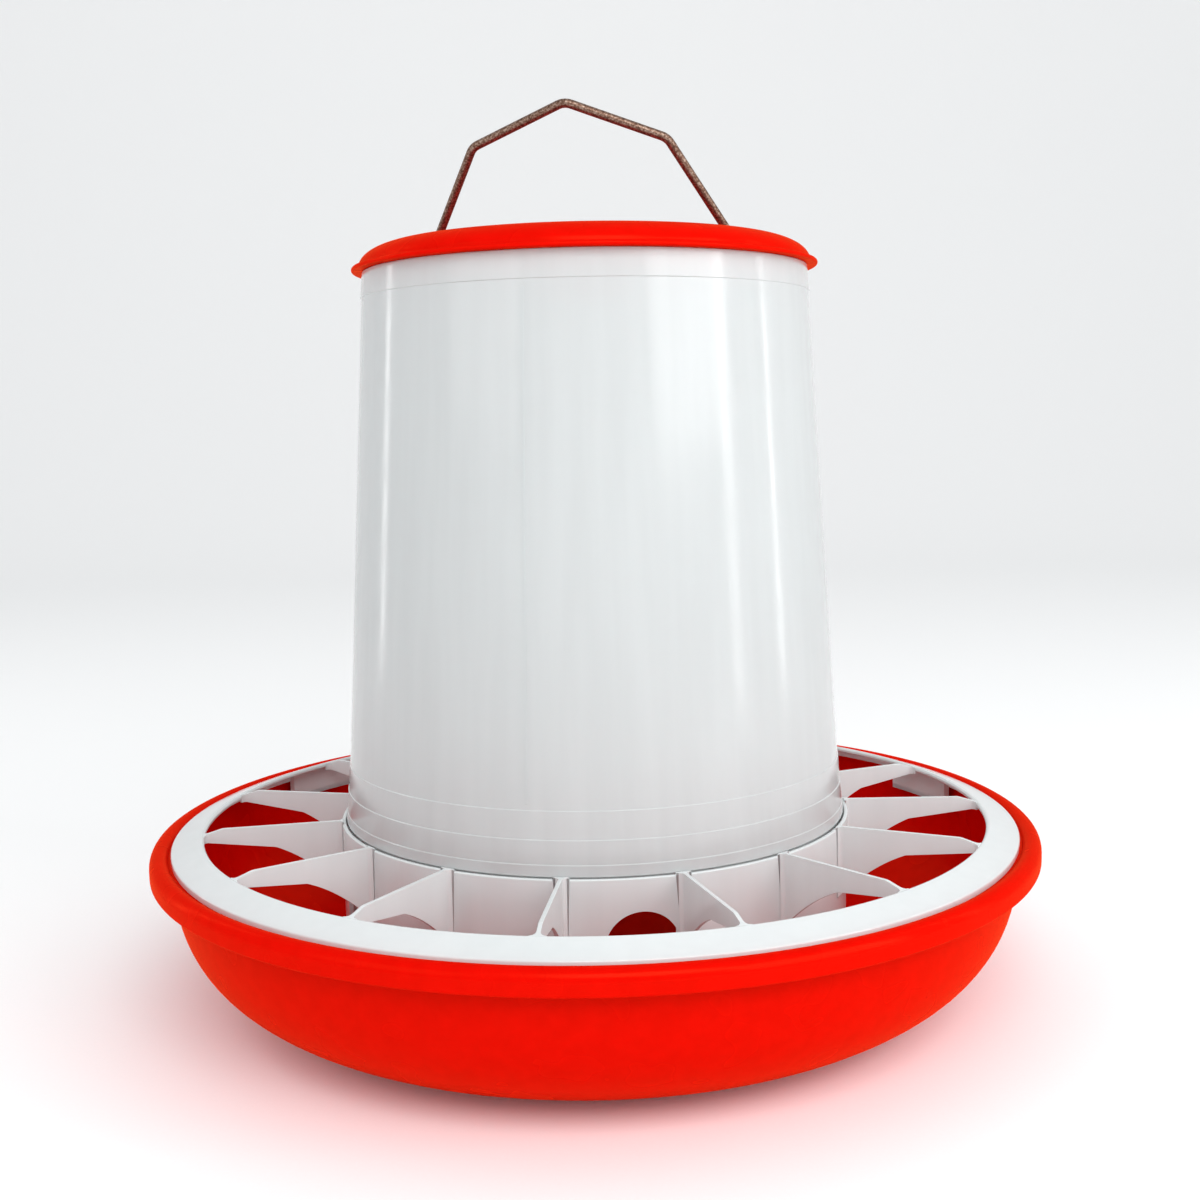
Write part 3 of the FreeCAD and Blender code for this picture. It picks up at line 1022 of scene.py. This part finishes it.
@dataclass(frozen=True)
class BrownedWire:
    """Drawn steel wire with a browned zinc coat: dull metal with rust specks."""
    name: str = "browned_steel_wire"
    bright: str = "#9C8678"
    dark: str = "#4A3A33"
    rust: str = "#6A4A3A"
    roughness: float = 0.36
    speck: float = 0.9        # spacing of the darker specks

    def make(self) -> Material:
        """Build the material.

        Returns:
            The finished material.
        """
        material = bpy.data.materials.new(self.name)
        material.use_nodes = True
        tree = material.node_tree
        tree.nodes.clear()
        place = add_node(tree, "ShaderNodeTexCoord").outputs["Object"]
        specks = add_node(tree, "ShaderNodeTexNoise", Vector=place, Scale=1 / (self.speck * MM), Detail=5.0,
                          Roughness=0.65)
        ramp = add_node(tree, "ShaderNodeValToRGB", Fac=specks.outputs["Fac"])
        ramp.color_ramp.elements[0].position = 0.34
        ramp.color_ramp.elements[0].color = linear(self.dark)
        ramp.color_ramp.elements[1].position = 0.62
        ramp.color_ramp.elements[1].color = linear(self.bright)
        middle = ramp.color_ramp.elements.new(0.46)
        middle.color = linear(self.rust)
        rough = add_node(tree, "ShaderNodeMapRange", Value=specks.outputs["Fac"], From_Min=0.3, From_Max=0.7,
                         To_Min=self.roughness + 0.16, To_Max=self.roughness - 0.08)
        bump = add_node(tree, "ShaderNodeBump", Height=specks.outputs["Fac"], Strength=0.4,
                        Distance=0.03 * MM)
        shader = add_node(tree, "ShaderNodeBsdfPrincipled", Base_Color=ramp.outputs[0], Metallic=0.85,
                          Roughness=rough.outputs[0], Normal=bump.outputs[0])
        add_node(tree, "ShaderNodeOutputMaterial", Surface=shader.outputs[0])
        return material


@dataclass
class Studio:
    """Pale sweep, soft lights and the camera."""
    paper_light: str = "#FDFDFD"
    paper_dark: str = "#F9F9F8"
    fibre: float = 1.5         # spacing of the paper's fibre mottle, millimetres
    sweep_size: float = 6.0    # metres
    sweep_bend: float = 1.2    # metres
    aim_height: float = 0.16   # where the lights point, metres
    surround: str = "#F7F9FB"
    surround_strength: float = 0.8
    camera_distance: float = 657.7
    camera_height: float = 248.1
    camera_pitch: float = 0.118   # downwards; this and the next two in radians
    camera_yaw: float = 0.006
    camera_roll: float = -0.019
    lens: float = 45.13
    sensor: float = 36.0

    def paper(self) -> Material:
        """Build the sweep's background paper: uncoated pulp, matt, with a faint fibre mottle."""
        material = bpy.data.materials.new("background_paper")
        material.use_nodes = True
        tree = material.node_tree
        tree.nodes.clear()
        place = add_node(tree, "ShaderNodeTexCoord").outputs["Object"]
        fibre = add_node(tree, "ShaderNodeTexNoise", Vector=place, Scale=1 / (self.fibre * MM), Detail=3.0)
        colour = add_node(tree, "ShaderNodeMixRGB", Fac=fibre.outputs["Fac"], Color1=linear(self.paper_light),
                          Color2=linear(self.paper_dark))
        felt = add_node(tree, "ShaderNodeBump", Height=fibre.outputs["Fac"], Distance=0.02 * MM)
        shader = add_node(tree, "ShaderNodeBsdfPrincipled", Base_Color=colour.outputs[0], Roughness=0.9,
                          Specular_IOR_Level=0.2, Normal=felt.outputs[0])
        add_node(tree, "ShaderNodeOutputMaterial", Surface=shader.outputs[0])
        return material

    def floor(self) -> None:
        """Model the sweep the feeder stands on."""
        bpy.ops.object.select_all(action="DESELECT")
        bpy.ops.mesh.primitive_plane_add(size=self.sweep_size)
        sweep = Bench.named("sweep")
        edge = 0.5 * self.sweep_size
        Bench.select_where(sweep, lambda co: co.y * MM > edge - 0.01)
        bpy.ops.mesh.extrude_region_move(TRANSFORM_OT_translate={"value": (0, 0, edge)})
        bpy.ops.object.mode_set(mode="OBJECT")
        Bench.bevel(sweep, self.sweep_bend / MM, 16, 40.0)
        Bench.pick(sweep)
        bpy.ops.object.shade_smooth()
        sweep.data.materials.append(self.paper())

    def light(self, name: str, azimuth: float, height: float, distance: float, size: tuple[float, float],
              power: float) -> None:
        """Add a soft light that faces the hopper.

        Args:
            name: the light's name.
            azimuth: direction it stands in.
            height: metres above the floor.
            distance: metres from the axis.
            size: width and height in metres.
            power: watts.
        """
        place = Vector((distance * sin(radians(azimuth)), -distance * cos(radians(azimuth)), height))
        bpy.ops.object.select_all(action="DESELECT")
        bpy.ops.object.light_add(type="AREA", location=place)
        lamp = bpy.context.active_object
        lamp.name = name
        lamp.data.shape = "RECTANGLE"
        lamp.data.size, lamp.data.size_y = size
        lamp.data.energy = power
        aim = Vector((0, 0, self.aim_height)) - place
        lamp.rotation_euler = aim.to_track_quat("-Z", "Y").to_euler()

    def lights(self) -> None:
        """Add the lights and the pale surroundings."""
        self.light("key", 50.0, 0.85, 1.6, (1.2, 1.0), 10.0)
        self.light("front", 8.0, 1.2, 1.3, (1.0, 0.8), 10.0)
        self.light("fill", -50.0, 0.9, 1.8, (1.2, 1.0), 3.5)
        self.light("window_wide", 68.0, 0.45, 1.5, (0.16, 1.6), 2.4)
        self.light("window_narrow", 96.0, 0.45, 1.5, (0.07, 1.6), 1.8)
        self.light("window_left", -112.0, 0.45, 1.5, (0.10, 1.6), 1.8)
        world = bpy.data.worlds.new("surroundings")
        world.use_nodes = True
        sky = world.node_tree.nodes["Background"]
        sky.inputs["Color"].default_value = linear(self.surround)
        sky.inputs["Strength"].default_value = self.surround_strength
        bpy.context.scene.world = world

    def camera(self) -> None:
        """Add the camera in front, a little above the trough."""
        place = Vector((0, -self.camera_distance, self.camera_height)) * MM
        aim = (Matrix.Rotation(-self.camera_yaw, 3, "Z") @ Matrix.Rotation(pi / 2 - self.camera_pitch, 3, "X")
               @ Matrix.Rotation(self.camera_roll, 3, "Z"))
        bpy.ops.object.select_all(action="DESELECT")
        bpy.ops.object.camera_add(location=place, rotation=aim.to_euler())
        camera = bpy.context.active_object
        camera.data.sensor_width = self.sensor
        camera.data.lens = self.lens
        camera.data.clip_start = 0.01
        bpy.context.scene.camera = camera

    def build(self) -> None:
        """Set the whole studio."""
        self.floor()
        self.lights()
        self.camera()
        bpy.context.scene.view_settings.view_transform = "Standard"


def main() -> None:
    """Build the feeder from the floor up, then the studio."""
    logging.basicConfig(level=logging.INFO, format="%(name)s %(message)s")
    # The thin hopper wall passes more light than the stiffer grill. The red is dyed through.
    red = GlossPolypropylene("red_polypropylene", "#E40502", "#DE0401", (0.20, 0.30), sheen="#FF5A30",
                             streak_height=0.0, stretch=1.0).make()
    white = GlossPolypropylene("white_polypropylene", "#F0F5F5", "#EEF3F3", (0.12, 0.22), glow=0.3).make()
    milky = GlossPolypropylene("milky_polypropylene", "#F6FAFA", "#F3F7F7", (0.10, 0.18), glow=0.55).make()
    wire = BrownedWire().make()
    pivot = Pivot()
    Trough().build(red)
    Grill().build(white)
    Hopper().build(milky)
    Lid(pivot).build(red)
    Bail(pivot).build(wire)
    Studio().build()
    bpy.context.view_layer.update()


if __name__ == "__main__":
    main()
